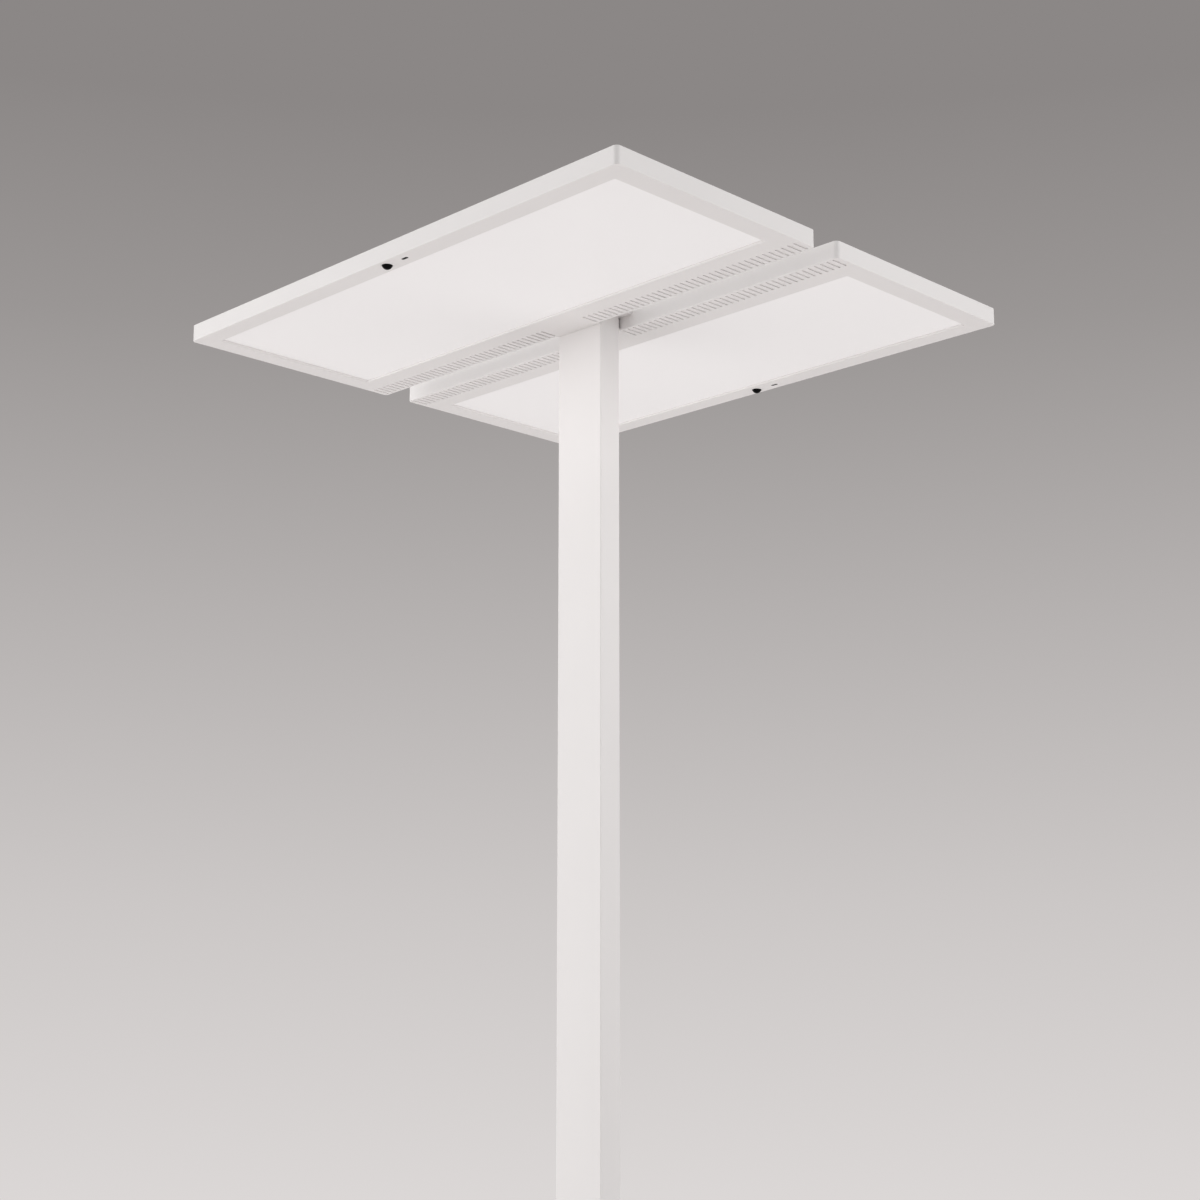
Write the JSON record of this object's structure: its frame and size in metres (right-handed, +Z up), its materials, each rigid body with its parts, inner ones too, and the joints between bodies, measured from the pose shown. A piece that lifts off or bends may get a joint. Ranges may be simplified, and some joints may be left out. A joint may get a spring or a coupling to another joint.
{
  "type": "floor lamp",
  "caption": "Office floor lamp: flat rectangular heads side by side with opal windows, vent slots and sensors, on a rectangular column with a flat base and a push-button panel.",
  "frame": {"origin": "on the floor, in the middle of the base, under the column", "axes": "+X along the heads' long sides, +Y from the front head to the rear head, +Z up the column"},
  "size_m": [0.815, 0.7214, 1.95],
  "materials": {
    "white_metal": "satin white powder coat",
    "opal_plastic": "matte",
    "clear_plastic": "gloss",
    "reflector_sheet": "matte",
    "white_plastic": "satin",
    "button_plastic": "satin",
    "black_gloss": "gloss",
    "black_matte": "matte",
    "steel": "satin",
    "aluminium": "satin",
    "circuit_board": "satin",
    "cable": "matte",
    "fleece": "matte"
  },
  "bodies": {
    "lamp": {"base_plate": "white_metal", "base_glides": "black_matte", "base_screws": "steel", "column": "white_metal", "mains_inlet": "black_matte", "inlet_pins": "steel", "mains_cable": "cable", "junction_block": "white_plastic", "head_cables": "cable", "cable_bushes": "black_matte", "control_panel": "white_plastic", "control_board": "circuit_board", "push_switches": "black_matte", "control_cable": "cable", "panel_screws": "steel", "board_screws": "steel", "brighter_spring": "steel", "dimmer_spring": "steel", "head_carrier": "white_metal", "carrier_screws": "steel", "head_screws": "steel", "carrier_cap": "white_metal", "front_housing": "white_metal", "rear_housing": "white_metal", "front_diffuser": "opal_plastic", "rear_diffuser": "opal_plastic", "front_light_guide": "clear_plastic", "rear_light_guide": "clear_plastic", "front_reflector": "reflector_sheet", "rear_reflector": "reflector_sheet", "front_led_strips": "circuit_board", "rear_led_strips": "circuit_board", "front_heat_plate": "aluminium", "rear_heat_plate": "aluminium", "front_uplight_boards": "white_plastic", "rear_uplight_boards": "white_plastic", "front_uplight_pane": "opal_plastic", "rear_uplight_pane": "opal_plastic", "front_top_cover": "white_metal", "rear_top_cover": "white_metal", "front_driver": "aluminium", "rear_driver": "aluminium", "front_controller": "white_plastic", "rear_controller": "white_plastic", "front_sensor_board": "circuit_board", "rear_sensor_board": "circuit_board", "front_presence_lens": "black_gloss", "rear_presence_lens": "black_gloss", "front_light_sensor": "black_gloss", "rear_light_sensor": "black_gloss", "front_dust_screens": "fleece", "rear_dust_screens": "fleece", "cover_screws": "steel", "heat_plate_screws": "steel", "driver_screws": "steel"},
    "brighter_button": {"brighter_button": "button_plastic"},
    "dimmer_button": {"dimmer_button": "button_plastic"}
  },
  "joints": [
    {"name": "brighter_button_press", "type": "slide", "parent": "lamp", "child": "brighter_button", "axis": [0, -1, 0], "range_m": [0, 0.0012], "stiffness_N_per_m": 500, "springref_m": -0.002, "deforming": ["brighter_spring"]},
    {"name": "dimmer_button_press", "type": "slide", "parent": "lamp", "child": "dimmer_button", "axis": [0, -1, 0], "range_m": [0, 0.0012], "stiffness_N_per_m": 500, "springref_m": -0.002, "deforming": ["dimmer_spring"]}
  ]
}
